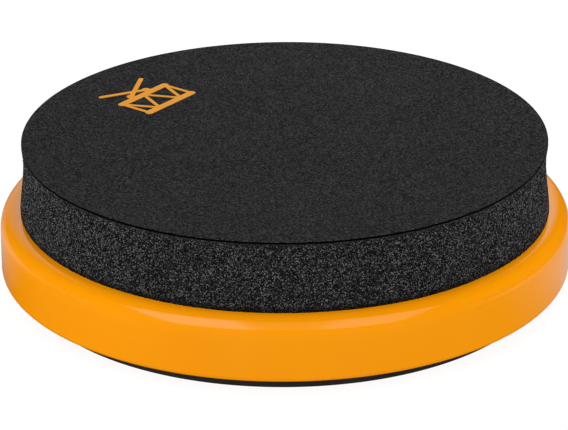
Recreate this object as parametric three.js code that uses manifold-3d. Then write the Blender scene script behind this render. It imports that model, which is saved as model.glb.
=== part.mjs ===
// A 6 inch low-rebound drum practice pad, in millimetres, +Z up.
//
// The origin is the centre of the face that the pad stands on. From the table upwards it is a stack:
// a foam rubber underlay, a round lacquered board with a flanged M8 nut screwed into its underside (so
// that the pad also fits on the rod of a cymbal stand), a thick soft foam core, and the thin facing
// that the sticks strike, with a small printed mark on it. Double-sided film joins the layers.
import * as THREE from "three";
import { mergeVertices } from "three/addons/utils/BufferGeometryUtils.js";
import Module from "manifold-3d";

const wasm = await Module();
wasm.setup();

// ---- Driving dimensions ----

const BOARD_RADIUS = 76.2; // a 6 inch pad
const BOARD_THICKNESS = 17;
const TOP_ROUND_OVER = 4.8; // radius of the board's upper edge
const LOWER_EASE = 1.7; // radius of the board's lower edge

const FACING_RADIUS = 70;
const FACING_THICKNESS = 0.7;
const CORE_THICKNESS = 18.2;
const CORE_WAIST = 1.1; // how strongly the die-cut side is drawn in above its middle
const CORE_FLARE = 0.7; // how far the core's foot stands out past the facing

const UNDERLAY_RADIUS = 69.5;
const UNDERLAY_THICKNESS = 4;
const UNDERLAY_HOLE_RADIUS = 17;
const FILM_THICKNESS = 0.3; // double-sided adhesive film
const FILM_INSET = 1.5; // the film stops short of what it joins
const MARK_THICKNESS = 0.15;

// M8 x 1.25 is the thread of most cymbal stands. The bore is the thread's inner diameter.
const THREAD_BORE_RADIUS = 3.4;
const THREAD_MAJOR_RADIUS = 4;
const NUT_BARREL_RADIUS = 5;
const NUT_BARREL_LENGTH = 13;
const NUT_FLANGE_RADIUS = 13;
const NUT_FLANGE_THICKNESS = 1.6;
const SCREW_CIRCLE_RADIUS = 9.3;
const SCREW_COUNT = 3;
const SCREW_LENGTH = 12;
const SCREW_SHANK_RADIUS = 1.5;
const SCREW_HEAD_RADIUS = 2.7;
const CLEARANCE = 0.3; // between a piece and the hole that it sits in

const FINE_SEGMENTS = 96; // round the large discs
const COARSE_SEGMENTS = 32; // round the small hardware

// ---- Heights, worked out from the stack ----

const BOARD_BOTTOM = UNDERLAY_THICKNESS + FILM_THICKNESS;
const BOARD_TOP = BOARD_BOTTOM + BOARD_THICKNESS;
const CORE_BOTTOM = BOARD_TOP + FILM_THICKNESS;
const CORE_TOP = CORE_BOTTOM + CORE_THICKNESS;
const FACING_TOP = CORE_TOP + FACING_THICKNESS;
const FLANGE_FACE = BOARD_BOTTOM - NUT_FLANGE_THICKNESS;

// ---- Materials ----

const finish = (color, roughness, metalness = 0) =>
  new THREE.MeshStandardMaterial({ color, roughness, metalness });

const lacquer = finish(0xf49900, 0.3);
const facingRubber = finish(0x2d2d2f, 0.85);
const foam = finish(0x29292b, 0.95);
const underlayRubber = finish(0x1f1f20, 0.9);
const film = finish(0xd9d4c4, 0.6);
const ink = finish(0xf7931e, 0.5);
const zinc = finish(0xb9bcc0, 0.35, 1);

// ---- Helpers ----

// A solid turned about Z from an outline of [radius, height] pairs, listed anticlockwise with the
// radius to the right. It starts and ends on the axis, or closes on itself where the piece has a hole.
function turned(outline, segments = FINE_SEGMENTS) {
  const points = outline.map(([radius, height]) => new THREE.Vector2(radius, height));
  return new THREE.LatheGeometry(points, segments).rotateX(Math.PI / 2);
}

// Points on an arc in the outline's plane, from angle to angle in degrees, both ends included.
function arc(centreRadius, centreHeight, radius, fromDegrees, toDegrees, steps) {
  return Array.from({ length: steps + 1 }, (_, i) => {
    const angle = THREE.MathUtils.degToRad(
      THREE.MathUtils.lerp(fromDegrees, toDegrees, i / steps),
    );
    return [centreRadius + radius * Math.cos(angle), centreHeight + radius * Math.sin(angle)];
  });
}

// A flat ring or, with no hole, a disc, between two heights.
function disc(radius, bottom, top, hole = 0) {
  const outline = [[hole, bottom], [radius, bottom], [radius, top], [hole, top]];
  return turned(hole ? [...outline, outline[0]] : outline);
}

// A closed three.js geometry as a manifold-3d solid, and back.
function solid(geometry) {
  const bare = geometry.clone();
  bare.deleteAttribute("normal");
  bare.deleteAttribute("uv");
  const merged = mergeVertices(bare, 1e-4);
  return new wasm.Manifold(
    new wasm.Mesh({
      numProp: 3,
      vertProperties: new Float32Array(merged.attributes.position.array),
      triVerts: new Uint32Array(merged.index.array),
    }),
  );
}

function geometryOf(manifold) {
  const mesh = manifold.getMesh();
  const geometry = new THREE.BufferGeometry();
  geometry.setAttribute("position", new THREE.BufferAttribute(mesh.vertProperties, 3));
  geometry.setIndex(new THREE.BufferAttribute(mesh.triVerts, 1));
  geometry.computeVertexNormals();
  return geometry;
}

const cut = (geometry, tools) =>
  geometryOf(tools.reduce((body, tool) => body.subtract(solid(tool)), solid(geometry)));

// The same geometry at each screw's place round the nut.
function atScrews(geometry) {
  return Array.from({ length: SCREW_COUNT }, (_, i) =>
    geometry
      .clone()
      .translate(SCREW_CIRCLE_RADIUS, 0, 0)
      .rotateZ((i * 2 * Math.PI) / SCREW_COUNT),
  );
}

const pad = new THREE.Group();

function add(name, geometry, material) {
  const mesh = new THREE.Mesh(geometry, material);
  mesh.name = name;
  pad.add(mesh);
}

// ---- Board ----

// A disc with a rounded upper edge, a blind hole for the nut's barrel and a pilot hole for each screw.
function baseBoard() {
  const holeRadius = NUT_BARREL_RADIUS + CLEARANCE;
  const holeTop = BOARD_BOTTOM + NUT_BARREL_LENGTH + CLEARANCE;
  const body = turned([
    [0, holeTop],
    [holeRadius, holeTop],
    [holeRadius, BOARD_BOTTOM],
    ...arc(BOARD_RADIUS - LOWER_EASE, BOARD_BOTTOM + LOWER_EASE, LOWER_EASE, -90, 0, 4),
    ...arc(BOARD_RADIUS - TOP_ROUND_OVER, BOARD_TOP - TOP_ROUND_OVER, TOP_ROUND_OVER, 0, 90, 8),
    [0, BOARD_TOP],
  ]);
  const pilotRadius = SCREW_SHANK_RADIUS + CLEARANCE;
  const pilotTop = FLANGE_FACE + SCREW_LENGTH + CLEARANCE;
  const pilot = turned(
    [[0, FLANGE_FACE], [pilotRadius, FLANGE_FACE], [pilotRadius, pilotTop], [0, pilotTop]],
    COARSE_SEGMENTS,
  );
  return cut(body, atScrews(pilot));
}

// ---- Stand mount ----

// A barrel nut on a round flange. The flange lies on the board's underside, and its face keeps clear
// of the table, because the underlay is thicker than the flange.
function flangeNut() {
  const leadIn = THREAD_MAJOR_RADIUS - THREAD_BORE_RADIUS;
  const barrelTop = BOARD_BOTTOM + NUT_BARREL_LENGTH;
  const body = turned(
    [
      [THREAD_MAJOR_RADIUS, FLANGE_FACE],
      [NUT_FLANGE_RADIUS, FLANGE_FACE],
      [NUT_FLANGE_RADIUS, BOARD_BOTTOM],
      [NUT_BARREL_RADIUS, BOARD_BOTTOM],
      [NUT_BARREL_RADIUS, barrelTop],
      [THREAD_BORE_RADIUS, barrelTop],
      [THREAD_BORE_RADIUS, FLANGE_FACE + leadIn],
      [THREAD_MAJOR_RADIUS, FLANGE_FACE],
    ],
    COARSE_SEGMENTS,
  );
  const beyond = 1; // the cutting tools run past the faces that they cut
  const shank = SCREW_SHANK_RADIUS + CLEARANCE;
  const head = SCREW_HEAD_RADIUS + CLEARANCE;
  const countersink = turned(
    [
      [0, FLANGE_FACE - beyond],
      [head, FLANGE_FACE - beyond],
      [head, FLANGE_FACE],
      [shank, FLANGE_FACE + head - shank],
      [shank, BOARD_BOTTOM + beyond],
      [0, BOARD_BOTTOM + beyond],
    ],
    COARSE_SEGMENTS,
  );
  return cut(body, atScrews(countersink));
}

// A countersunk wood screw, point up, with a cross recess in its head.
function flangeScrew() {
  const headDepth = SCREW_HEAD_RADIUS - SCREW_SHANK_RADIUS;
  const point = FLANGE_FACE + SCREW_LENGTH;
  const pointLength = 2.5;
  const body = turned(
    [
      [0, FLANGE_FACE],
      [SCREW_HEAD_RADIUS, FLANGE_FACE],
      [SCREW_SHANK_RADIUS, FLANGE_FACE + headDepth],
      [SCREW_SHANK_RADIUS, point - pointLength],
      [0, point],
    ],
    COARSE_SEGMENTS / 2,
  );
  const slotLength = SCREW_HEAD_RADIUS * 1.3;
  const slotWidth = 0.7;
  const slotDepth = 1.1;
  const slots = [0, Math.PI / 2].map((angle) =>
    new THREE.BoxGeometry(slotLength, slotWidth, 2 * slotDepth)
      .rotateZ(angle)
      .translate(0, 0, FLANGE_FACE),
  );
  return cut(body, slots);
}

// ---- Foam core ----

// Foam springs back after the die has cut it, so the side is drawn in above its middle and flares to
// the foot. The radius follows a cubic curve from the facing down to the board.
function foamCore() {
  const side = new THREE.CubicBezierCurve(
    new THREE.Vector2(FACING_RADIUS + CORE_FLARE, CORE_BOTTOM),
    new THREE.Vector2(FACING_RADIUS + CORE_FLARE / 2, CORE_BOTTOM + CORE_THICKNESS / 3),
    new THREE.Vector2(FACING_RADIUS - CORE_WAIST, CORE_TOP - CORE_THICKNESS / 3),
    new THREE.Vector2(FACING_RADIUS, CORE_TOP),
  );
  const steps = 10;
  return turned([
    [0, CORE_BOTTOM],
    ...side.getPoints(steps).map((point) => [point.x, point.y]),
    [0, CORE_TOP],
  ]);
}

// ---- Printed mark ----

// A flat bar with round ends, from one point to another.
function stroke([fromX, fromY], [toX, toY], halfWidth) {
  const angle = Math.atan2(toY - fromY, toX - fromX);
  const quarter = Math.PI / 2;
  const outline = new THREE.Shape();
  outline.absarc(fromX, fromY, halfWidth, angle + quarter, angle + 3 * quarter, false);
  outline.absarc(toX, toY, halfWidth, angle - quarter, angle + quarter, false);
  outline.closePath();
  const options = { depth: MARK_THICKNESS, bevelEnabled: false, curveSegments: 8 };
  return solid(new THREE.ExtrudeGeometry(outline, options));
}

// A side drum with cords laced between its hoops, and a pair of sticks crossed over it. Its top is
// towards the rim, so that the mark is upright for a reader at the middle of the pad.
function printedMark() {
  const drumHalfWidth = 9;
  const drumHalfHeight = 4.75;
  const hoopHalfWidth = 1.1;
  const cordHalfWidth = 0.5;
  const cordRuns = 4;
  const stickHalfWidth = 0.65;
  const stickTipRadius = 1.15;
  const stickTip = [3.2, drumHalfHeight + 1.7];
  const stickButt = [8.5, drumHalfHeight + 8];
  const centreRadius = 44; // of the drum, from the pad's axis
  const bearingDegrees = 142; // where the mark lies, anticlockwise from +X

  const lacing = Array.from({ length: cordRuns + 1 }, (_, i) => [
    THREE.MathUtils.lerp(-drumHalfWidth, drumHalfWidth, i / cordRuns),
    i % 2 ? -drumHalfHeight : drumHalfHeight,
  ]);
  const strokes = lacing.slice(1).map((end, i) => stroke(lacing[i], end, cordHalfWidth));
  for (const side of [-1, 1]) {
    const x = side * drumHalfWidth;
    const y = side * drumHalfHeight;
    const tip = [side * stickTip[0], stickTip[1]];
    strokes.push(
      stroke([-drumHalfWidth, y], [drumHalfWidth, y], hoopHalfWidth),
      stroke([x, -drumHalfHeight], [x, drumHalfHeight], cordHalfWidth),
      stroke(tip, [-side * stickButt[0], stickButt[1]], stickHalfWidth),
      stroke(tip, [tip[0], tip[1] + MARK_THICKNESS], stickTipRadius),
    );
  }
  return geometryOf(wasm.Manifold.union(strokes))
    .rotateZ(-Math.PI / 2)
    .translate(centreRadius, 0, FACING_TOP)
    .rotateZ(THREE.MathUtils.degToRad(bearingDegrees));
}

// ---- Assembly, from the table upwards ----

add("rubber_underlay", disc(UNDERLAY_RADIUS, 0, UNDERLAY_THICKNESS, UNDERLAY_HOLE_RADIUS), underlayRubber);
add(
  "underlay_adhesive",
  disc(UNDERLAY_RADIUS - FILM_INSET, UNDERLAY_THICKNESS, BOARD_BOTTOM, UNDERLAY_HOLE_RADIUS + FILM_INSET),
  film,
);
add("base_board", baseBoard(), lacquer);
add("stand_nut", flangeNut(), zinc);
atScrews(flangeScrew()).forEach((screw, i) => add(`nut_screw_${i + 1}`, screw, zinc));
add("core_adhesive", disc(FACING_RADIUS - FILM_INSET, BOARD_TOP, CORE_BOTTOM), film);
add("foam_core", foamCore(), foam);
add("playing_facing", disc(FACING_RADIUS, CORE_TOP, FACING_TOP), facingRubber);
add("printed_mark", printedMark(), ink);

export default pad;
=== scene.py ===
# A 6 inch low-rebound drum practice pad, dressed for a product picture.
#
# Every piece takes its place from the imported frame. Lengths are metres, and MM turns
# millimetres into them.
import math

import bmesh
import bpy
import numpy as np
from mathutils import Matrix, Vector


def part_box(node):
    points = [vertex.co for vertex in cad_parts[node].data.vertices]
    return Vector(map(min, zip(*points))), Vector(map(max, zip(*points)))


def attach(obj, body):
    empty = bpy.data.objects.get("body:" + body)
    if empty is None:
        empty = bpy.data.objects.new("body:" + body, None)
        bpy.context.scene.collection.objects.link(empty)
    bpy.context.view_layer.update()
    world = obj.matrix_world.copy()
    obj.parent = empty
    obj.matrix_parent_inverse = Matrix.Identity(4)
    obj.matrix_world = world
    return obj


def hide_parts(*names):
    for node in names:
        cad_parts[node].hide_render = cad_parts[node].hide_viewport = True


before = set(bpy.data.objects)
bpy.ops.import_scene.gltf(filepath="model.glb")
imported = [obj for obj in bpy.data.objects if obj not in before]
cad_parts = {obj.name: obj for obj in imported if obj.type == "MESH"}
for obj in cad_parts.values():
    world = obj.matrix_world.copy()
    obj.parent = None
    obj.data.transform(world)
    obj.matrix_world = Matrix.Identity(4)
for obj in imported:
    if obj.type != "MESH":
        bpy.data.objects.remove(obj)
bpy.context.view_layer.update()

MM = 0.001
TAU = 2 * math.pi
BLACK = (0.0, 0.0, 0.0, 1)
WHITE = (1, 1, 1, 1)


# ---- Noise and mesh helpers ----


HASH_PRIMES = (73856093, 19349663, 83492791)
HASH_ROUNDS = ((13, 0x9E3779B97F4A7C15), (29, 0xBF58476D1CE4E5B9))
LAST_SHIFT = 32
HASH_MASK = 0xFFFFFF
KEY_OFFSET = 5000  # keeps the lattice's keys above 0
SEED_STEP = 77


def hashed(*keys):
    """Repeatable random numbers from 0 to 1, one for each set of three whole-number keys."""
    total = np.zeros(np.broadcast(*keys).shape, dtype=np.uint64)
    for key, prime in zip(keys, HASH_PRIMES):
        total ^= np.asarray(key, dtype=np.int64).astype(np.uint64) * np.uint64(prime)
    for shift, factor in HASH_ROUNDS:
        total ^= total >> np.uint64(shift)
        total *= np.uint64(factor)
    total ^= total >> np.uint64(LAST_SHIFT)
    return (total & np.uint64(HASH_MASK)).astype(float) / HASH_MASK


class Lattice:
    """A square lattice laid over points u, v.

    wrap is the length of u after which the lattice repeats, for a surface that closes on itself.
    """

    def __init__(self, u, v, size, wrap):
        self.columns = max(1, round(wrap / size)) if wrap else None
        width = wrap / self.columns if wrap else size
        self.x = np.asarray(u) / width
        self.y = np.asarray(v) / size
        self.column = np.floor(self.x).astype(int)
        self.row = np.floor(self.y).astype(int)

    def random(self, i, j, seed):
        """A random number for the lattice point i columns and j rows on from each point's own."""
        column = self.column + i
        key = column % self.columns if self.columns else column
        return hashed(key + KEY_OFFSET, self.row + j + KEY_OFFSET, seed)


def cells(u, v, size, seed, wrap=None):
    """Distance from each point to its nearest cell centre, in cell sizes.

    There is one centre in each square of the lattice, at a random place.
    """
    grid = Lattice(u, v, size, wrap)
    nearest = np.full(grid.x.shape, np.inf)
    for i in (-1, 0, 1):
        for j in (-1, 0, 1):
            centre_x = grid.column + i + grid.random(i, j, seed)
            centre_y = grid.row + j + grid.random(i, j, seed + SEED_STEP)
            nearest = np.minimum(nearest, np.hypot(grid.x - centre_x, grid.y - centre_y))
    return nearest


def value_noise(u, v, size, seed, wrap=None):
    """Smooth noise from -1 to 1 whose blobs are about that size."""
    grid = Lattice(u, v, size, wrap)
    s = (grid.x - grid.column) ** 2 * (3 - 2 * (grid.x - grid.column))
    t = (grid.y - grid.row) ** 2 * (3 - 2 * (grid.y - grid.row))
    total = np.zeros(grid.x.shape)
    for i, weight_x in ((0, 1 - s), (1, s)):
        for j, weight_y in ((0, 1 - t), (1, t)):
            total += weight_x * weight_y * grid.random(i, j, seed)
    return 2 * total - 1


def new_piece(name, vertices, faces, smooth=True):
    """A mesh object in the model's frame, with its faces turned outwards."""
    mesh = bpy.data.meshes.new(name)
    mesh.from_pydata([tuple(v) for v in vertices], [], faces)
    mesh.validate()
    work = bmesh.new()
    work.from_mesh(mesh)
    bmesh.ops.recalc_face_normals(work, faces=work.faces)
    work.to_mesh(mesh)
    work.free()
    if smooth:
        mesh.shade_smooth()
    piece = bpy.data.objects.new(name, mesh)
    bpy.context.scene.collection.objects.link(piece)
    return piece


def sharpen(piece, degrees):
    """Keeps edges sharper than this angle crisp, and shades the rest smoothly."""
    piece.data.shade_smooth()
    piece.data.set_sharp_from_angle(angle=math.radians(degrees))


def arc(centre_r, centre_z, radius, start, end, steps):
    """Outline points [radius, height] on an arc, from angle to angle in degrees."""
    angles = np.radians(np.linspace(start, end, steps + 1))
    return [(centre_r + radius * math.cos(a), centre_z + radius * math.sin(a)) for a in angles]


def full_turn(segments):
    """The angles of that many points, evenly round a circle."""
    return np.arange(segments) * TAU / segments


def hoop(radius, height, angles):
    """Points round Z at one height. The radius may be one number, or one for each angle."""
    return list(zip(radius * np.cos(angles), radius * np.sin(angles), [height] * len(angles)))


def turned(outline, segments):
    """Vertices and faces of a solid turned about Z from [radius, height] points.

    The outline starts and ends on the axis.
    """
    angles = full_turn(segments)
    vertices = []
    rings = []
    for radius, height in outline:
        if radius == 0:
            rings.append([len(vertices)] * segments)
            vertices.append((0.0, 0.0, height))
            continue
        rings.append(list(range(len(vertices), len(vertices) + segments)))
        vertices.extend(hoop(radius, height, angles))
    faces = []
    for lower, upper in zip(rings, rings[1:]):
        for i in range(segments):
            j = (i + 1) % segments
            corners = [lower[i], lower[j], upper[j], upper[i]]
            face = [c for k, c in enumerate(corners) if c != corners[k - 1]]
            if len(face) > 2:
                faces.append(face)
    return vertices, faces


def zipped(inner, outer):
    """Triangles between two rings of vertices that may have different counts."""
    faces = []
    i = j = 0
    while i < len(inner) or j < len(outer):
        inner_next = (i + 1) / len(inner)
        outer_next = (j + 1) / len(outer)
        a = inner[i % len(inner)]
        b = outer[j % len(outer)]
        if j >= len(outer) or (i < len(inner) and inner_next < outer_next):
            faces.append((a, b, inner[(i + 1) % len(inner)]))
            i += 1
        else:
            faces.append((a, b, outer[(j + 1) % len(outer)]))
            j += 1
    return faces


def ring_points(radius, count, phase):
    """Flat points round the origin, of which the first is that part of a step from angle 0."""
    angles = (np.arange(count) + phase) * TAU / count
    return np.column_stack([radius * np.cos(angles), radius * np.sin(angles)])


def dense_disc(outer, spacing, hole=0.0):
    """Flat rings of points a spacing apart, as (xy points, rings of indices, triangles).

    Every other ring is turned by half a step, and the outermost one starts at angle 0.
    """
    steps = max(2, round((outer - hole) / spacing))
    points = []
    rings = []
    faces = []
    total = 0
    for k, radius in enumerate(np.linspace(hole, outer, steps + 1)):
        count = 1 if radius == 0 else max(6, round(TAU * radius / spacing))
        points.append(ring_points(radius, count, 0.0 if k == steps else 0.5 * (k % 2)))
        ring = list(range(total, total + count))
        total += count
        if rings and len(rings[-1]) == 1:
            faces.extend(fan(rings[-1][0], ring))
        elif rings:
            faces.extend(zipped(rings[-1], ring))
        rings.append(ring)
    return np.vstack(points), rings, faces


def walls(first, second):
    """Quads between two rings of the same count."""
    count = len(first)
    quads = []
    for i in range(count):
        j = (i + 1) % count
        quads.append((first[i], first[j], second[j], second[i]))
    return quads


def fan(centre, ring):
    """Triangles from one vertex to a ring."""
    count = len(ring)
    return [(centre, ring[i], ring[(i + 1) % count]) for i in range(count)]


def skirt(vertices, faces, edge, angles, profile):
    """Runs walls on from a ring of vertices, through a profile of [radius, height] points.

    It adds to both lists, and returns the last ring.
    """
    previous = edge
    for radius, height in profile:
        ring = list(range(len(vertices), len(vertices) + len(edge)))
        vertices.extend(hoop(radius, height, angles))
        faces.extend(walls(previous, ring))
        previous = ring
    return previous


def apply_modifier(piece, modifier):
    with bpy.context.temp_override(object=piece, active_object=piece):
        bpy.ops.object.modifier_apply(modifier=modifier.name)


def combine(piece, other, operation):
    """Joins the other object to the piece or cuts it out, and removes the other."""
    modifier = piece.modifiers.new("combine", "BOOLEAN")
    modifier.operation = operation
    modifier.solver = "EXACT"
    modifier.object = other
    apply_modifier(piece, modifier)
    bpy.data.objects.remove(other)


def weld(piece):
    """Merges corners that the cuts have left on top of one another."""
    merge_distance = 0.002 * MM
    shortest_edge = 0.001 * MM
    work = bmesh.new()
    work.from_mesh(piece.data)
    bmesh.ops.remove_doubles(work, verts=work.verts, dist=merge_distance)
    bmesh.ops.dissolve_degenerate(work, edges=work.edges, dist=shortest_edge)
    work.to_mesh(piece.data)
    work.free()


def cut(piece, tools):
    """Cuts every tool out of the piece, and removes the tools."""
    for tool in tools:
        combine(piece, tool, "DIFFERENCE")
    weld(piece)


# ---- Material helpers ----

# The sockets of a Mix node that it uses for colours.
MIX_FACTOR = 0
MIX_COLOUR_A = 6
MIX_COLOUR_B = 7
MIX_COLOUR_RESULT = 2


class Nodes:
    """A node tree built by short calls, each of which returns the new node's output."""

    def __init__(self, tree, surface, coordinate):
        self.nodes = tree.nodes
        self.links = tree.links
        self.surface = self.nodes[surface]
        self.place = self.nodes.new("ShaderNodeTexCoord").outputs[coordinate]

    def put(self, socket, value):
        """Links another node's output to a socket, or sets the socket to a plain value."""
        if isinstance(value, bpy.types.NodeSocket):
            self.links.new(value, socket)
        else:
            socket.default_value = value

    def set(self, **values):
        """Sets the surface's own sockets, whose names are written here with _ for each space."""
        for key, value in values.items():
            self.put(self.surface.inputs[key.replace("_", " ")], value)

    def noise(self, size, detail=2.0, roughness=0.5):
        """Soft noise from 0 to 1 whose blobs are about that size."""
        node = self.nodes.new("ShaderNodeTexNoise")
        node.inputs["Scale"].default_value = 1 / size
        node.inputs["Detail"].default_value = detail
        node.inputs["Roughness"].default_value = roughness
        self.links.new(self.place, node.inputs["Vector"])
        return node.outputs["Fac"]

    def voronoi(self, size, output="Distance"):
        """Cells of about that size, as the distance to their centres or another output."""
        node = self.nodes.new("ShaderNodeTexVoronoi")
        node.inputs["Scale"].default_value = 1 / size
        self.links.new(self.place, node.inputs["Vector"])
        return node.outputs[output]

    def cell_random(self, size):
        """A random number from 0 to 1 for each cell."""
        split = self.nodes.new("ShaderNodeSeparateColor")
        self.links.new(self.voronoi(size, "Color"), split.inputs[0])
        return split.outputs["Red"]

    def along(self, axis, low, high, to_low=0.0, to_high=1.0):
        """A ramp along one axis, level beyond both of its ends."""
        split = self.nodes.new("ShaderNodeSeparateXYZ")
        self.links.new(self.place, split.inputs[0])
        return self.spread(split.outputs[axis], low, high, to_low, to_high)

    def math(self, operation, a, b=0.0):
        """One operation on two values or sockets."""
        node = self.nodes.new("ShaderNodeMath")
        node.operation = operation
        self.put(node.inputs[0], a)
        self.put(node.inputs[1], b)
        return node.outputs[0]

    def times(self, first, *others):
        """The product of all of them."""
        for other in others:
            first = self.math("MULTIPLY", first, other)
        return first

    def spread(self, value, low, high, to_low=0.0, to_high=1.0):
        """Turns low to high into to_low to to_high, level beyond both ends."""
        node = self.nodes.new("ShaderNodeMapRange")
        inputs = ("Value", "From Min", "From Max", "To Min", "To Max")
        for key, number in zip(inputs, (value, low, high, to_low, to_high)):
            self.put(node.inputs[key], number)
        return node.outputs["Result"]

    def blend(self, factor, a, b):
        """Colour a where the factor is 0, and b where it is 1."""
        node = self.nodes.new("ShaderNodeMix")
        node.data_type = "RGBA"
        self.put(node.inputs[MIX_FACTOR], factor)
        self.put(node.inputs[MIX_COLOUR_A], a)
        self.put(node.inputs[MIX_COLOUR_B], b)
        return node.outputs[MIX_COLOUR_RESULT]

    def bump(self, height, distance, strength=1.0):
        """A bumpy normal, where a height of 1 stands that distance proud."""
        node = self.nodes.new("ShaderNodeBump")
        node.inputs["Strength"].default_value = strength
        node.inputs["Distance"].default_value = distance
        self.links.new(height, node.inputs["Height"])
        return node.outputs["Normal"]

    def mirrored(self):
        """1 where a glossy reflection looks at this surface, 0 for every other ray."""
        return self.nodes.new("ShaderNodeLightPath").outputs["Is Glossy Ray"]


def new_material(name, **sockets):
    """A material and its nodes, with the given values set on its surface."""
    material = bpy.data.materials.new(name)
    material.use_nodes = True
    nodes = Nodes(material.node_tree, "Principled BSDF", "Object")
    nodes.set(**sockets)
    return material, nodes


def srgb(red, green, blue):
    """A linear colour with alpha, from the numbers of a screen colour, each from 11 to 255."""
    return tuple(((c / 255 + 0.055) / 1.055) ** 2.4 for c in (red, green, blue)) + (1.0,)


# ---- Materials ----


def lacquer():
    """Orange lacquer on board: a faint orange peel, and slight changes of depth and gloss."""
    deep = (0.86, 0.286, 0.0, 1)
    pale = (0.875, 0.296, 0.0, 1)
    material, m = new_material("orange_lacquer", IOR=1.48)
    drift = m.noise(38 * MM, detail=2.0)
    colour = m.blend(m.spread(drift, 0.3, 0.7), deep, pale)
    roughness = m.spread(m.noise(9 * MM, detail=3.0), 0.3, 0.7, 0.12, 0.15)
    peel = m.bump(m.noise(1.3 * MM, detail=1.0), 0.012 * MM, 0.35)
    m.set(Base_Color=colour, Roughness=roughness, Normal=peel)
    return material


def foam_material():
    """Cut open-cell foam: the cells' hollows painted black as shade between the struts, and painted
    glints where some of the struts' cut ends catch the light.
    """
    strut_colour = (0.011, 0.011, 0.0122, 1)
    lit_colour = (0.145, 0.145, 0.153, 1)
    skin_colour = (0.019, 0.019, 0.0202, 1)
    # the colour of the painted shade at the foam's foot
    foot_shade_colour = (0.004, 0.004, 0.0043, 1)
    material, m = new_material("cut_foam", IOR=1.45, Specular_IOR_Level=0.05)
    cell = m.voronoi(0.28 * MM)
    strut = m.spread(cell, 0.25, 0.75)
    lit = m.math("POWER", m.spread(m.cell_random(0.24 * MM), 0.35, 1.0), 4.0)
    skin = m.along("Z", CORE_HIGH.z - 0.9 * MM, CORE_HIGH.z - 0.3 * MM)
    # painted shade: darkest at the foam's foot where it meets the board, fading out 1.5 mm up
    foot_shade = m.along("Z", CORE_LOW.z + 0.4 * MM, CORE_LOW.z + 1.5 * MM, 0.75, 0.0)
    # painted shade: each cell's hollow is black, and its struts keep the foam's own colour
    colour = m.blend(strut, BLACK, strut_colour)
    # painted glints: a few cells get a bright colour where cut strut ends catch the light
    colour = m.blend(lit, colour, lit_colour)
    colour = m.blend(m.math("MULTIPLY", skin, 0.5), colour, skin_colour)
    colour = m.blend(foot_shade, colour, foot_shade_colour)
    relief = m.bump(cell, 0.2 * MM, 0.8)
    m.set(Base_Color=colour, Roughness=0.8, Normal=relief, Sheen_Weight=m.times(lit, 0.28))
    return material


def facing_material():
    """The matt, finely pebbled face that the sticks strike, with its cut edge painted black as
    shade, speckled lighter towards its foot.
    """
    pebble_colour = (0.06, 0.06, 0.064, 1)
    soft_colour = (0.0139, 0.0139, 0.0147, 1)
    wear_colour = (0.035, 0.035, 0.035, 1)
    # the grey, speckled by the grain, to which the painted shade on the cut edge lightens at its
    # foot
    edge_foot_colour = (0.05, 0.05, 0.0525, 1)
    material, m = new_material("playing_face", IOR=1.45, Specular_IOR_Level=0.15)
    grain = m.cell_random(0.3 * MM)
    soft = m.spread(m.noise(0.8 * MM, detail=2.0, roughness=0.6), 0.35, 0.65, 0.0, 0.15)
    wear = m.spread(m.noise(30 * MM, detail=3.0), 0.35, 0.75, 0.0, 0.08)
    face = m.along("Z", FACING_HIGH.z - 0.12 * MM, FACING_HIGH.z - 0.05 * MM)
    foot = m.along("Z", FACING_LOW.z + 0.16 * MM, FACING_LOW.z + 0.02 * MM)
    colour = m.blend(m.math("POWER", grain, 2.5), BLACK, pebble_colour)
    colour = m.blend(soft, colour, soft_colour)
    colour = m.blend(wear, colour, wear_colour)
    # painted shade: the cut edge below the face is black, speckled grey towards its foot
    shaded_cut_edge = m.blend(m.math("MULTIPLY", foot, grain), BLACK, edge_foot_colour)
    colour = m.blend(face, shaded_cut_edge, colour)
    relief = m.bump(grain, 0.06 * MM, 0.8)
    m.set(Base_Color=colour, Roughness=0.85, Normal=relief)
    return material


def rubber_material():
    """Black foam rubber with a dusty, uneven skin."""
    dark = (0.008, 0.008, 0.008, 1)
    light = (0.02, 0.02, 0.02, 1)
    dusty = (0.035, 0.034, 0.032, 1)
    material, m = new_material("underlay_rubber", IOR=1.5)
    grain = m.noise(0.35 * MM, detail=3.0, roughness=0.65)
    dust = m.spread(m.noise(14 * MM, detail=4.0), 0.4, 0.75, 0.0, 0.35)
    colour = m.blend(m.spread(grain, 0.3, 0.7), dark, light)
    colour = m.blend(dust, colour, dusty)
    relief = m.bump(grain, 0.06 * MM, 0.8)
    m.set(Base_Color=colour, Roughness=0.88, Normal=relief)
    return material


def ink_material():
    """Screen-printed ink: flat, slightly mottled, and thinner where it sank into the grain."""
    material, m = new_material("orange_ink", IOR=1.45, Specular_IOR_Level=0.3)
    grain = m.noise(0.4 * MM, detail=2.0)
    thin = m.spread(grain, 0.58, 0.75, 0.0, 0.35)
    full_colour = srgb(205, 136, 27)
    thin_colour = srgb(172, 101, 14)
    colour = m.blend(thin, full_colour, thin_colour)
    m.set(Base_Color=colour, Roughness=0.55, Normal=m.bump(grain, 0.04 * MM, 0.6))
    return material


def film_material():
    """Cream double-sided adhesive film with bubbles trapped in it."""
    bubble_colour = (0.75, 0.72, 0.62, 1)
    film_colour = (0.6, 0.56, 0.45, 1)
    material, m = new_material("adhesive_film", IOR=1.46)
    bubbles = m.spread(m.voronoi(3.5 * MM), 0.1, 0.3)
    colour = m.blend(bubbles, bubble_colour, film_colour)
    m.set(Base_Color=colour, Roughness=0.5, Normal=m.bump(bubbles, 0.03 * MM, 0.6))
    return material


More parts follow.
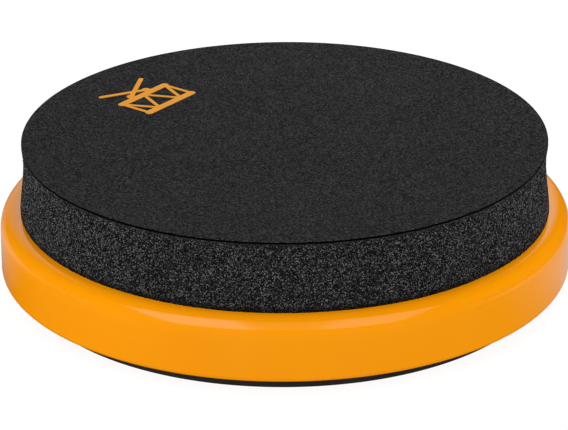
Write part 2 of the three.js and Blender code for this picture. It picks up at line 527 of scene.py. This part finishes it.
def zinc_material():
    """Bright zinc plate with patches of duller metal."""
    dull = (0.42, 0.43, 0.45, 1)
    bright = (0.66, 0.67, 0.69, 1)
    material, m = new_material("zinc_plate", Metallic=1.0)
    patches = m.noise(2.6 * MM, detail=4.0, roughness=0.6)
    colour = m.blend(m.spread(patches, 0.3, 0.7), dull, bright)
    roughness = m.spread(patches, 0.3, 0.7, 0.42, 0.24)
    m.set(Base_Color=colour, Roughness=roughness, Normal=m.bump(patches, 0.02 * MM, 0.5))
    return material


# ---- Pieces ----

FACING_LOW, FACING_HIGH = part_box("playing_facing")
CORE_LOW, CORE_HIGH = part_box("foam_core")
BOARD_LOW, BOARD_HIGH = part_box("base_board")
UNDERLAY_LOW, UNDERLAY_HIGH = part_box("rubber_underlay")
NUT_LOW, NUT_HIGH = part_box("stand_nut")
MARK_LOW, MARK_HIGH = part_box("printed_mark")

BOARD_RADIUS = BOARD_HIGH.x
TOP_ROUND_OVER = 4.8 * MM
LOWER_EASE = 1.7 * MM
CLEARANCE = 0.3 * MM
UNDERLAY_HOLE_RADIUS = 17 * MM
FILM_HOLE_RADIUS = 18.5 * MM
NUT_BARREL_RADIUS = 5 * MM
NUT_FLANGE_RADIUS = NUT_HIGH.x
THREAD_MINOR = 3.4 * MM
THREAD_MAJOR = 4 * MM
THREAD_PITCH = 1.25 * MM
SCREW_NODES = ["nut_screw_1", "nut_screw_2", "nut_screw_3"]
SCREW_HEAD_RADIUS = 2.7 * MM
SCREW_SHANK_RADIUS = 1.5 * MM
FIRST_SCREW_TURN = 0.4  # radians
SCREW_TURN_STEP = 0.9


def screw_centre(node):
    """The place in plan of a screw's axis."""
    low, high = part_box(node)
    return Vector(((low.x + high.x) / 2, (low.y + high.y) / 2, 0))


def base_board():
    """The lacquered disc, rounded over at its rim, with blind holes for the nut and its screws."""
    hole = NUT_BARREL_RADIUS + CLEARANCE
    hole_top = NUT_HIGH.z + CLEARANCE
    round_over_centre = (BOARD_RADIUS - TOP_ROUND_OVER, BOARD_HIGH.z - TOP_ROUND_OVER)
    outline = [
        (0, hole_top),
        (hole, hole_top),
        (hole, BOARD_LOW.z),
        *arc(BOARD_RADIUS - LOWER_EASE, BOARD_LOW.z + LOWER_EASE, LOWER_EASE, -90, 0, 10),
        *arc(*round_over_centre, TOP_ROUND_OVER, 0, 90, 24),
        (0, BOARD_HIGH.z),
    ]
    piece = new_piece("lacquered_board", *turned(outline, 512))
    pilots = []
    for node in SCREW_NODES:
        low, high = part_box(node)
        radius = SCREW_SHANK_RADIUS + CLEARANCE
        top = high.z + CLEARANCE
        bottom = BOARD_LOW.z - MM
        pilot_outline = [(0, bottom), (radius, bottom), (radius, top), (0, top)]
        pilot = new_piece("pilot", *turned(pilot_outline, 32))
        pilot.data.transform(Matrix.Translation(screw_centre(node)))
        pilots.append(pilot)
    cut(piece, pilots)
    sharpen(piece, 40)
    return piece


def core_radius(height):
    """The foam's radius at each height: drawn in above its middle, and flared at the foot."""
    t = (height - CORE_LOW.z) / (CORE_HIGH.z - CORE_LOW.z)
    foot = CORE_HIGH.x
    controls = (foot, foot - 0.35 * MM, FACING_HIGH.x - 1.1 * MM, FACING_HIGH.x)
    weights = ((1 - t) ** 3, 3 * (1 - t) ** 2 * t, 3 * (1 - t) * t**2, t**3)
    return sum(w * c for w, c in zip(weights, controls))


def foam_core():
    """The cut side is a dense sheet of pits, one for each cell that the die opened.

    The relief and the foot's lift are in millimetres.
    """
    around = 1480
    rows = 60
    cell = 0.6 * MM
    pit_rim = 0.62
    pit_depth = 0.16
    roughness = 0.08
    swelling = 0.08
    set_back = 0.02
    skin_depth = 0.9 * MM
    skin_opening = 0.25
    buried = 0.2 * MM
    foot_lift = 0.07
    foot_raggedness = 0.05
    height = np.linspace(CORE_LOW.z - buried, CORE_HIGH.z, rows + 1)
    theta, z = np.meshgrid(full_turn(around), height)
    girth = TAU * CORE_HIGH.x
    along = theta / TAU * girth
    pit = np.clip(1 - cells(along, z, cell, seed=11, wrap=girth) / pit_rim, 0, 1)
    rough = value_noise(along, z, 0.36 * MM, seed=23, wrap=girth)
    swell = value_noise(along, z, 26 * MM, seed=5, wrap=girth)
    opened = np.clip((CORE_HIGH.z - z) / skin_depth, skin_opening, 1)
    relief = -set_back - pit_depth * pit * opened + roughness * rough * opened + swelling * swell
    radius = core_radius(np.clip(z, CORE_LOW.z, CORE_HIGH.z)) + relief * MM
    ragged = value_noise(along[0], z[0], 0.9 * MM, seed=31, wrap=girth)
    z[0] = BOARD_HIGH.z + (foot_lift + foot_raggedness * ragged) * MM
    vertices = np.column_stack(
        [(radius * np.cos(theta)).ravel(), (radius * np.sin(theta)).ravel(), z.ravel()]
    )
    rings = [list(range(row * around, (row + 1) * around)) for row in range(rows + 1)]
    faces = []
    for lower, upper in zip(rings, rings[1:]):
        faces.extend(walls(lower, upper))
    caps = [(0.0, 0.0, CORE_LOW.z), (0.0, 0.0, CORE_HIGH.z)]
    faces.extend(fan(len(vertices), rings[0]))
    faces.extend(fan(len(vertices) + 1, rings[-1]))
    return new_piece("cut_foam_core", np.vstack([vertices, caps]), faces)


def playing_facing():
    """A thin disc with a pebbled face, a softened rim and a plain underside."""
    rim = 0.12 * MM
    foot_ease = 0.08 * MM
    lowered = 0.012 * MM
    pebble_height = 0.02 * MM
    grain_height = 0.01 * MM
    points, rings, faces = dense_disc(FACING_HIGH.x - rim, 0.47 * MM)
    x, y = points.T
    pebbles = cells(x, y, 0.9 * MM, seed=41)
    grain = value_noise(x, y, 0.5 * MM, seed=43)
    top = FACING_HIGH.z - lowered - pebble_height * pebbles + grain_height * grain
    vertices = np.column_stack([x, y, np.minimum(top, FACING_HIGH.z)]).tolist()
    profile = [
        *arc(FACING_HIGH.x - rim, FACING_HIGH.z - rim, rim, 75, 0, 4),
        (FACING_HIGH.x, FACING_LOW.z + foot_ease),
        (FACING_HIGH.x - foot_ease, FACING_LOW.z),
    ]
    angles = full_turn(len(rings[-1]))
    last = skirt(vertices, faces, rings[-1], angles, profile)
    vertices.append((0.0, 0.0, FACING_LOW.z))
    faces.extend(fan(len(vertices) - 1, last))
    return new_piece("striking_face", vertices, faces)


def waffle(x, y, pitch):
    """A soft diagonal chequerboard: 1 in the middle of one square, and -1 in that of the next."""
    diagonal = pitch * math.sqrt(2)
    return np.cos(TAU * (x + y) / diagonal) * np.cos(TAU * (x - y) / diagonal)


def rubber_underlay():
    """A ring of foam rubber with a waffle pattern pressed into the face that it stands on."""
    outer = UNDERLAY_HIGH.x
    hole = UNDERLAY_HOLE_RADIUS
    ease = 0.3 * MM
    upper_ease = 0.1 * MM
    plain_margin = 1.5 * MM
    waffle_depth = 0.14 * MM
    lift = 0.004 * MM
    points, rings, faces = dense_disc(outer - ease, 0.5 * MM, hole + ease)
    x, y = points.T
    from_edge = np.minimum(outer - np.hypot(x, y), np.hypot(x, y) - hole)
    margin = np.clip(from_edge / plain_margin, 0, 1)
    pressed = 0.5 - 0.5 * waffle(x, y, 2.0 * MM)
    level = UNDERLAY_LOW.z + waffle_depth * margin * pressed + lift
    vertices = np.column_stack([x, y, level]).tolist()
    section = [
        *arc(0, UNDERLAY_LOW.z + ease, ease, -67, 0, 3),
        (ease, UNDERLAY_HIGH.z - upper_ease),
        (ease - upper_ease, UNDERLAY_HIGH.z),
    ]
    tops = []
    for edge, radius, side in ((rings[-1], outer, 1), (rings[0], hole, -1)):
        phase = np.arctan2(points[edge[0]][1], points[edge[0]][0])
        profile = [(radius + side * (offset - ease), height) for offset, height in section]
        tops.append(skirt(vertices, faces, edge, phase + full_turn(len(edge)), profile))
    faces.extend(zipped(tops[1], tops[0]))
    return new_piece("foam_rubber_underlay", vertices, faces)


def thread_wall(theta, z, low, high):
    """The bore's radius at each angle and height: an M8 thread with a lead-in at each end."""
    steepness = 2.3
    crest = 0.25
    mouth_relief = 0.02 * MM
    end_lip = 0.25 * MM
    phase = (z / THREAD_PITCH - theta / TAU) % 1.0
    groove = np.clip(steepness * (0.5 - np.abs(phase - 0.5)) * 2 - crest, 0, 1)
    radius = THREAD_MINOR + (THREAD_MAJOR - THREAD_MINOR) * groove
    lead_in = THREAD_MAJOR + mouth_relief - (z - low)
    lead_out = THREAD_MAJOR - (high - z) - end_lip
    return np.maximum(radius, np.maximum(lead_in, lead_out))


def stand_nut():
    """A flange and barrel with an M8 thread in the bore, countersunk for its three screws."""
    segments = 96
    rows = 220
    ease = 0.3 * MM
    flange_ease = 0.2 * MM
    low = NUT_LOW.z
    high = NUT_HIGH.z
    angles = full_turn(segments)
    vertices = []
    for level in np.linspace(low, high, rows + 1):
        vertices.extend(hoop(thread_wall(angles, level, low, high), level, angles))
    outside = [
        (NUT_BARREL_RADIUS - ease, high),
        (NUT_BARREL_RADIUS, high - ease),
        (NUT_BARREL_RADIUS, BOARD_LOW.z),
        (NUT_FLANGE_RADIUS - flange_ease, BOARD_LOW.z),
        (NUT_FLANGE_RADIUS, BOARD_LOW.z - flange_ease),
        *arc(NUT_FLANGE_RADIUS - ease, low + ease, ease, 0, -90, 4),
    ]
    for radius, level in outside:
        vertices.extend(hoop(radius, level, angles))
    ring_count = len(vertices) // segments
    rings = [list(range(k * segments, (k + 1) * segments)) for k in range(ring_count)]
    faces = []
    for lower, upper in zip(rings, rings[1:] + rings[:1]):
        faces.extend(walls(lower, upper))
    piece = new_piece("flanged_stand_nut", vertices, faces)
    head = SCREW_HEAD_RADIUS + CLEARANCE
    shank = SCREW_SHANK_RADIUS + CLEARANCE
    outline = [
        (0, low - MM),
        (head, low - MM),
        (head, low),
        (shank, low + head - shank),
        (shank, BOARD_LOW.z + MM),
        (0, BOARD_LOW.z + MM),
    ]
    sinks = []
    for node in SCREW_NODES:
        sink = new_piece("sink", *turned(outline, 48))
        sink.data.transform(Matrix.Translation(screw_centre(node)))
        sinks.append(sink)
    cut(piece, sinks)
    sharpen(piece, 35)
    return piece


def nut_screw(node, turn):
    """A countersunk wood screw: cross recess, rolled thread and a gimlet point."""
    low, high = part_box(node)
    segments = 40
    rows = 150
    rim = 0.1 * MM
    pitch = 1.35 * MM
    point = 2.6 * MM
    blunt = 0.05 * MM
    ridge_width = 0.22
    thread_depth = 0.3
    head_depth = SCREW_HEAD_RADIUS - SCREW_SHANK_RADIUS
    thread_low = low.z + head_depth
    angles = full_turn(segments)
    vertices = [(0.0, 0.0, low.z)]
    vertices.extend(hoop(SCREW_HEAD_RADIUS - rim, low.z, angles))
    vertices.extend(hoop(SCREW_HEAD_RADIUS, low.z + rim, angles))
    for level in np.linspace(thread_low, high.z - blunt, rows + 1):
        phase = (level / pitch - angles / TAU) % 1.0
        ridge = np.clip(1 - np.abs(phase - 0.5) / ridge_width, 0, 1)
        started = np.clip((level - thread_low) / pitch, 0, 1)
        root = SCREW_SHANK_RADIUS * (1 - thread_depth * started)
        shank = root + thread_depth * SCREW_SHANK_RADIUS * ridge * started
        taper = np.clip((high.z - level) / point, 0.0, 1.0)
        vertices.extend(hoop(shank * taper, level, angles))
    vertices.append((0.0, 0.0, high.z))
    ring_count = len(vertices) // segments
    rings = [list(range(1 + k * segments, 1 + (k + 1) * segments)) for k in range(ring_count)]
    faces = fan(0, rings[0])
    for lower, upper in zip(rings, rings[1:]):
        faces.extend(walls(lower, upper))
    faces.extend(fan(len(vertices) - 1, rings[-1]))
    piece = new_piece(f"countersunk_screw_{node[-1]}", vertices, faces)
    cut(piece, cross_recess(low.z))
    place = Matrix.Translation(screw_centre(node)) @ Matrix.Rotation(turn, 4, "Z")
    piece.data.transform(place)
    sharpen(piece, 35)
    return piece


def prism(name, lower, upper):
    """A solid between two outlines of [x, y, z] points with the same count."""
    count = len(lower)
    first = list(range(count))
    second = list(range(count, 2 * count))
    faces = [tuple(first[::-1]), tuple(second), *walls(first, second)]
    return new_piece(name, [*lower, *upper], faces, smooth=False)


def cross_recess(level):
    """Two crossed wedges that narrow as they go in."""
    half_length = 1.75 * MM
    half_width = 0.36 * MM
    depth = 1.15 * MM
    overshoot = 0.5 * MM
    end_length = 0.45 * half_length
    end_width = 0.6 * half_width
    corners = ((-1, -1), (1, -1), (1, 1), (-1, 1))
    mouth = [(x * half_length, y * half_width, level - overshoot) for x, y in corners]
    end = [(x * end_length, y * end_width, level + depth) for x, y in corners]
    tools = []
    for angle in (0.0, math.pi / 2):
        tool = prism("recess", mouth, end)
        tool.data.transform(Matrix.Rotation(angle, 4, "Z"))
        tools.append(tool)
    return tools


def stroke(start, end, half_width):
    """A flat bar of ink with round ends, from one point to another, in millimetres."""
    along = math.atan2(end[1] - start[1], end[0] - start[0])
    outline = []
    for centre, first in ((start, along + math.pi / 2), (end, along - math.pi / 2)):
        for a in np.linspace(first, first + math.pi, 17):
            x = centre[0] + half_width * math.cos(a)
            y = centre[1] + half_width * math.sin(a)
            outline.append((x * MM, y * MM))
    lower = [(x, y, MARK_LOW.z) for x, y in outline]
    upper = [(x, y, MARK_HIGH.z) for x, y in outline]
    return prism("stroke", lower, upper)


def printed_mark():
    """A laced side drum under two crossed sticks, in a thin film of ink with a soft edge.

    The drum's sizes are in millimetres from its own middle, with the sticks above it.
    """
    drum_half_width = 9
    drum_half_height = 4.75
    lacing_runs = 4
    hoop_ink = 1.1
    lacing_ink = 0.5
    tip_across = 3.2
    tip_above = 1.7
    tip_length = 0.15
    tip_ink = 1.15
    butt_across = 8.5
    butt_above = 8
    stick_ink = 0.65
    radius_from_axis = 44 * MM
    angle_round_pad = math.radians(142)
    lacing = []
    for i in range(lacing_runs + 1):
        x = -drum_half_width + 2 * drum_half_width * i / lacing_runs
        lacing.append((x, -drum_half_height if i % 2 else drum_half_height))
    strokes = [stroke(a, b, lacing_ink) for a, b in zip(lacing, lacing[1:])]
    for side in (-1, 1):
        rim = side * drum_half_height
        flank = side * drum_half_width
        tip = (side * tip_across, drum_half_height + tip_above)
        butt = (-side * butt_across, drum_half_height + butt_above)
        strokes.append(stroke((-drum_half_width, rim), (drum_half_width, rim), hoop_ink))
        strokes.append(stroke((flank, -drum_half_height), (flank, drum_half_height), lacing_ink))
        strokes.append(stroke(tip, butt, stick_ink))
        strokes.append(stroke(tip, (tip[0], tip[1] + tip_length), tip_ink))
    piece = strokes.pop()
    for other in strokes:
        combine(piece, other, "UNION")
    edge = piece.modifiers.new("soft edge", "BEVEL")
    edge.width = 0.04 * MM
    edge.segments = 2
    edge.limit_method = "ANGLE"
    edge.angle_limit = math.radians(60)
    apply_modifier(piece, edge)
    place = Matrix.Rotation(angle_round_pad, 4, "Z") @ Matrix.Translation((radius_from_axis, 0, 0))
    piece.data.transform(place @ Matrix.Rotation(-math.pi / 2, 4, "Z"))
    piece.name = "ink_mark"
    return piece


def adhesive(name, node, hole):
    """A film with a slightly uneven edge, and a round hole unless its radius is 0."""
    low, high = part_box(node)
    segments = 360
    unevenness = 0.25 * MM
    bump_length = 9
    angles = full_turn(segments)
    along = angles / TAU * segments
    wobble = value_noise(along, np.zeros(segments), bump_length, seed=61, wrap=segments)
    outer = high.x - unevenness + unevenness * wobble
    profile = [(outer, low.z), (outer, high.z)]
    if hole:
        profile += [(hole, high.z), (hole, low.z)]
    rings = []
    vertices = []
    for radius, level in profile:
        rings.append(list(range(len(vertices), len(vertices) + segments)))
        vertices.extend(hoop(radius, level, angles))
    faces = []
    for lower, upper in zip(rings, rings[1:]):
        faces.extend(walls(lower, upper))
    if hole:
        faces.extend(walls(rings[-1], rings[0]))
    else:
        faces += [tuple(rings[0])[::-1], tuple(rings[1])]
    piece = new_piece(name, vertices, faces)
    sharpen(piece, 40)
    return piece


def dress(piece, node, material):
    """Gives a piece its material and its body, and hides the CAD node that it stands for."""
    piece.data.materials.clear()
    piece.data.materials.append(material)
    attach(piece, "root")
    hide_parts(node)


zinc = zinc_material()
film = film_material()
dress(base_board(), "base_board", lacquer())
foam = foam_core()
dress(foam, "foam_core", foam_material())
dress(playing_facing(), "playing_facing", facing_material())
dress(printed_mark(), "printed_mark", ink_material())
dress(rubber_underlay(), "rubber_underlay", rubber_material())
dress(stand_nut(), "stand_nut", zinc)
for i, node in enumerate(SCREW_NODES):
    screw = nut_screw(node, FIRST_SCREW_TURN + SCREW_TURN_STEP * i)
    dress(screw, node, zinc)
core_film = adhesive("core_film", "core_adhesive", 0)
dress(core_film, "core_adhesive", film)
underlay_film = adhesive("underlay_film", "underlay_adhesive", FILM_HOLE_RADIUS)
dress(underlay_film, "underlay_adhesive", film)


# ---- Stage, light and camera ----


def stage_floor():
    """A white floor that mostly glows, so that the pad's shadow on it stays faint.

    Reflections see it dark in front and dimly lit behind, fading with distance, least on the left.
    """
    half = 3.0
    diffuse_colour = (0.1, 0.1, 0.1, 1)
    glow_to_the_eye = 0.93
    brightest_mirrored = 0.5
    corners = [(-half, -half, 0), (half, -half, 0), (half, half, 0), (-half, half, 0)]
    floor = new_piece("floor", corners, [(0, 1, 2, 3)], smooth=False)
    material, m = new_material("pale_floor", Roughness=1.0, Specular_IOR_Level=0.0)
    mirrored = m.mirrored()
    shade = m.blend(mirrored, diffuse_colour, BLACK)
    slanted = m.math("ADD", m.along("Y", -1, 1, -1, 1), m.along("X", -1, 1, -0.2, 0.2))
    behind = m.spread(slanted, -0.032, 0.012, 0.0, brightest_mirrored)
    far_left_to_right = m.along("X", -0.2, 0.05, 0.6, 0.05)
    near = m.along("Y", 0.04, 0.12, 1.0, far_left_to_right)
    glow = m.spread(mirrored, 0.0, 1.0, glow_to_the_eye, m.times(behind, near))
    m.set(Base_Color=shade, Emission_Color=WHITE, Emission_Strength=glow)
    material.cycles.emission_sampling = "NONE"
    floor.data.materials.append(material)


def area_light(name, place, aim, size, power, glossy=True):
    """A rectangular light, which reflections don't show if glossy is False."""
    light = bpy.data.lights.new(name, "AREA")
    light.shape = "RECTANGLE"
    light.size, light.size_y = size
    light.energy = power
    lamp = bpy.data.objects.new(name, light)
    lamp.location = place
    lamp.rotation_euler = (Vector(aim) - Vector(place)).to_track_quat("-Z", "Y").to_euler()
    lamp.visible_glossy = glossy
    bpy.context.scene.collection.objects.link(lamp)


def studio():
    """White surroundings that fade overhead, softboxes in front, and weak lights behind and beside.

    Reflections see only a screen behind the pad in place of the surroundings.
    """
    world = bpy.data.worlds.new("studio")
    world.use_nodes = True
    m = Nodes(world.node_tree, "Background", "Generated")
    screen = m.times(
        m.along("X", -0.55, -0.05, 0.0, 1.1),
        m.along("X", 0.1, 0.36, 1.0, 0.0),
        m.along("Y", 0.5, 0.75),
    )
    surroundings = m.along("Z", 0.0, 0.7, 1.0, 0.15)
    m.set(Color=WHITE, Strength=m.spread(m.mirrored(), 0.0, 1.0, surroundings, screen))
    world.cycles.sampling_method = "NONE"
    bpy.context.scene.world = world
    area_light("key", (0.0, -0.52, 0.87), (0, 0, 0.02), (0.95, 0.75), 3.1, glossy=False)
    area_light("softbox_left", (-0.6, -0.53, 0.87), (-0.6, 0, 0.02), (0.78, 1.0), 4.7)
    area_light("softbox_right", (0.55, -0.53, 0.87), (0.55, 0, 0.02), (0.68, 1.0), 2.7)
    area_light("softbox_middle", (0.0, -0.53, 0.87), (0, 0, 0.02), (0.42, 1.0), 0.26)
    area_light("back_right", (0.16, 0.24, 0.34), (0, 0, 0.03), (0.2, 0.15), 0.85, glossy=False)
    area_light("side_left", (-0.7, 0.05, 0.1), (0, 0, 0.02), (0.4, 0.16), 1.2, glossy=False)
    area_light("side_right", (0.7, 0.05, 0.1), (0, 0, 0.02), (0.4, 0.16), 0.8, glossy=False)


def camera():
    """A long lens in front of the pad, looking down along +Y, with a slight lean."""
    distance = 1054.6 * MM
    elevation = math.radians(23.46)
    lean = math.radians(-0.298)
    target = Vector((-0.27, 0, 17.6)) * MM
    back = Vector((0, -math.cos(elevation), math.sin(elevation)))
    data = bpy.data.cameras.new("camera")
    data.sensor_width = 36
    data.lens = 249.2
    data.clip_end = 50
    eye = bpy.data.objects.new("camera", data)
    aim = (-back).to_track_quat("-Z", "Y").to_matrix().to_4x4()
    place = Matrix.Translation(target + back * distance)
    eye.matrix_world = place @ aim @ Matrix.Rotation(lean, 4, "Z")
    bpy.context.scene.collection.objects.link(eye)
    bpy.context.scene.camera = eye


stage_floor()
studio()
camera()
bpy.context.scene.view_settings.view_transform = "Standard"
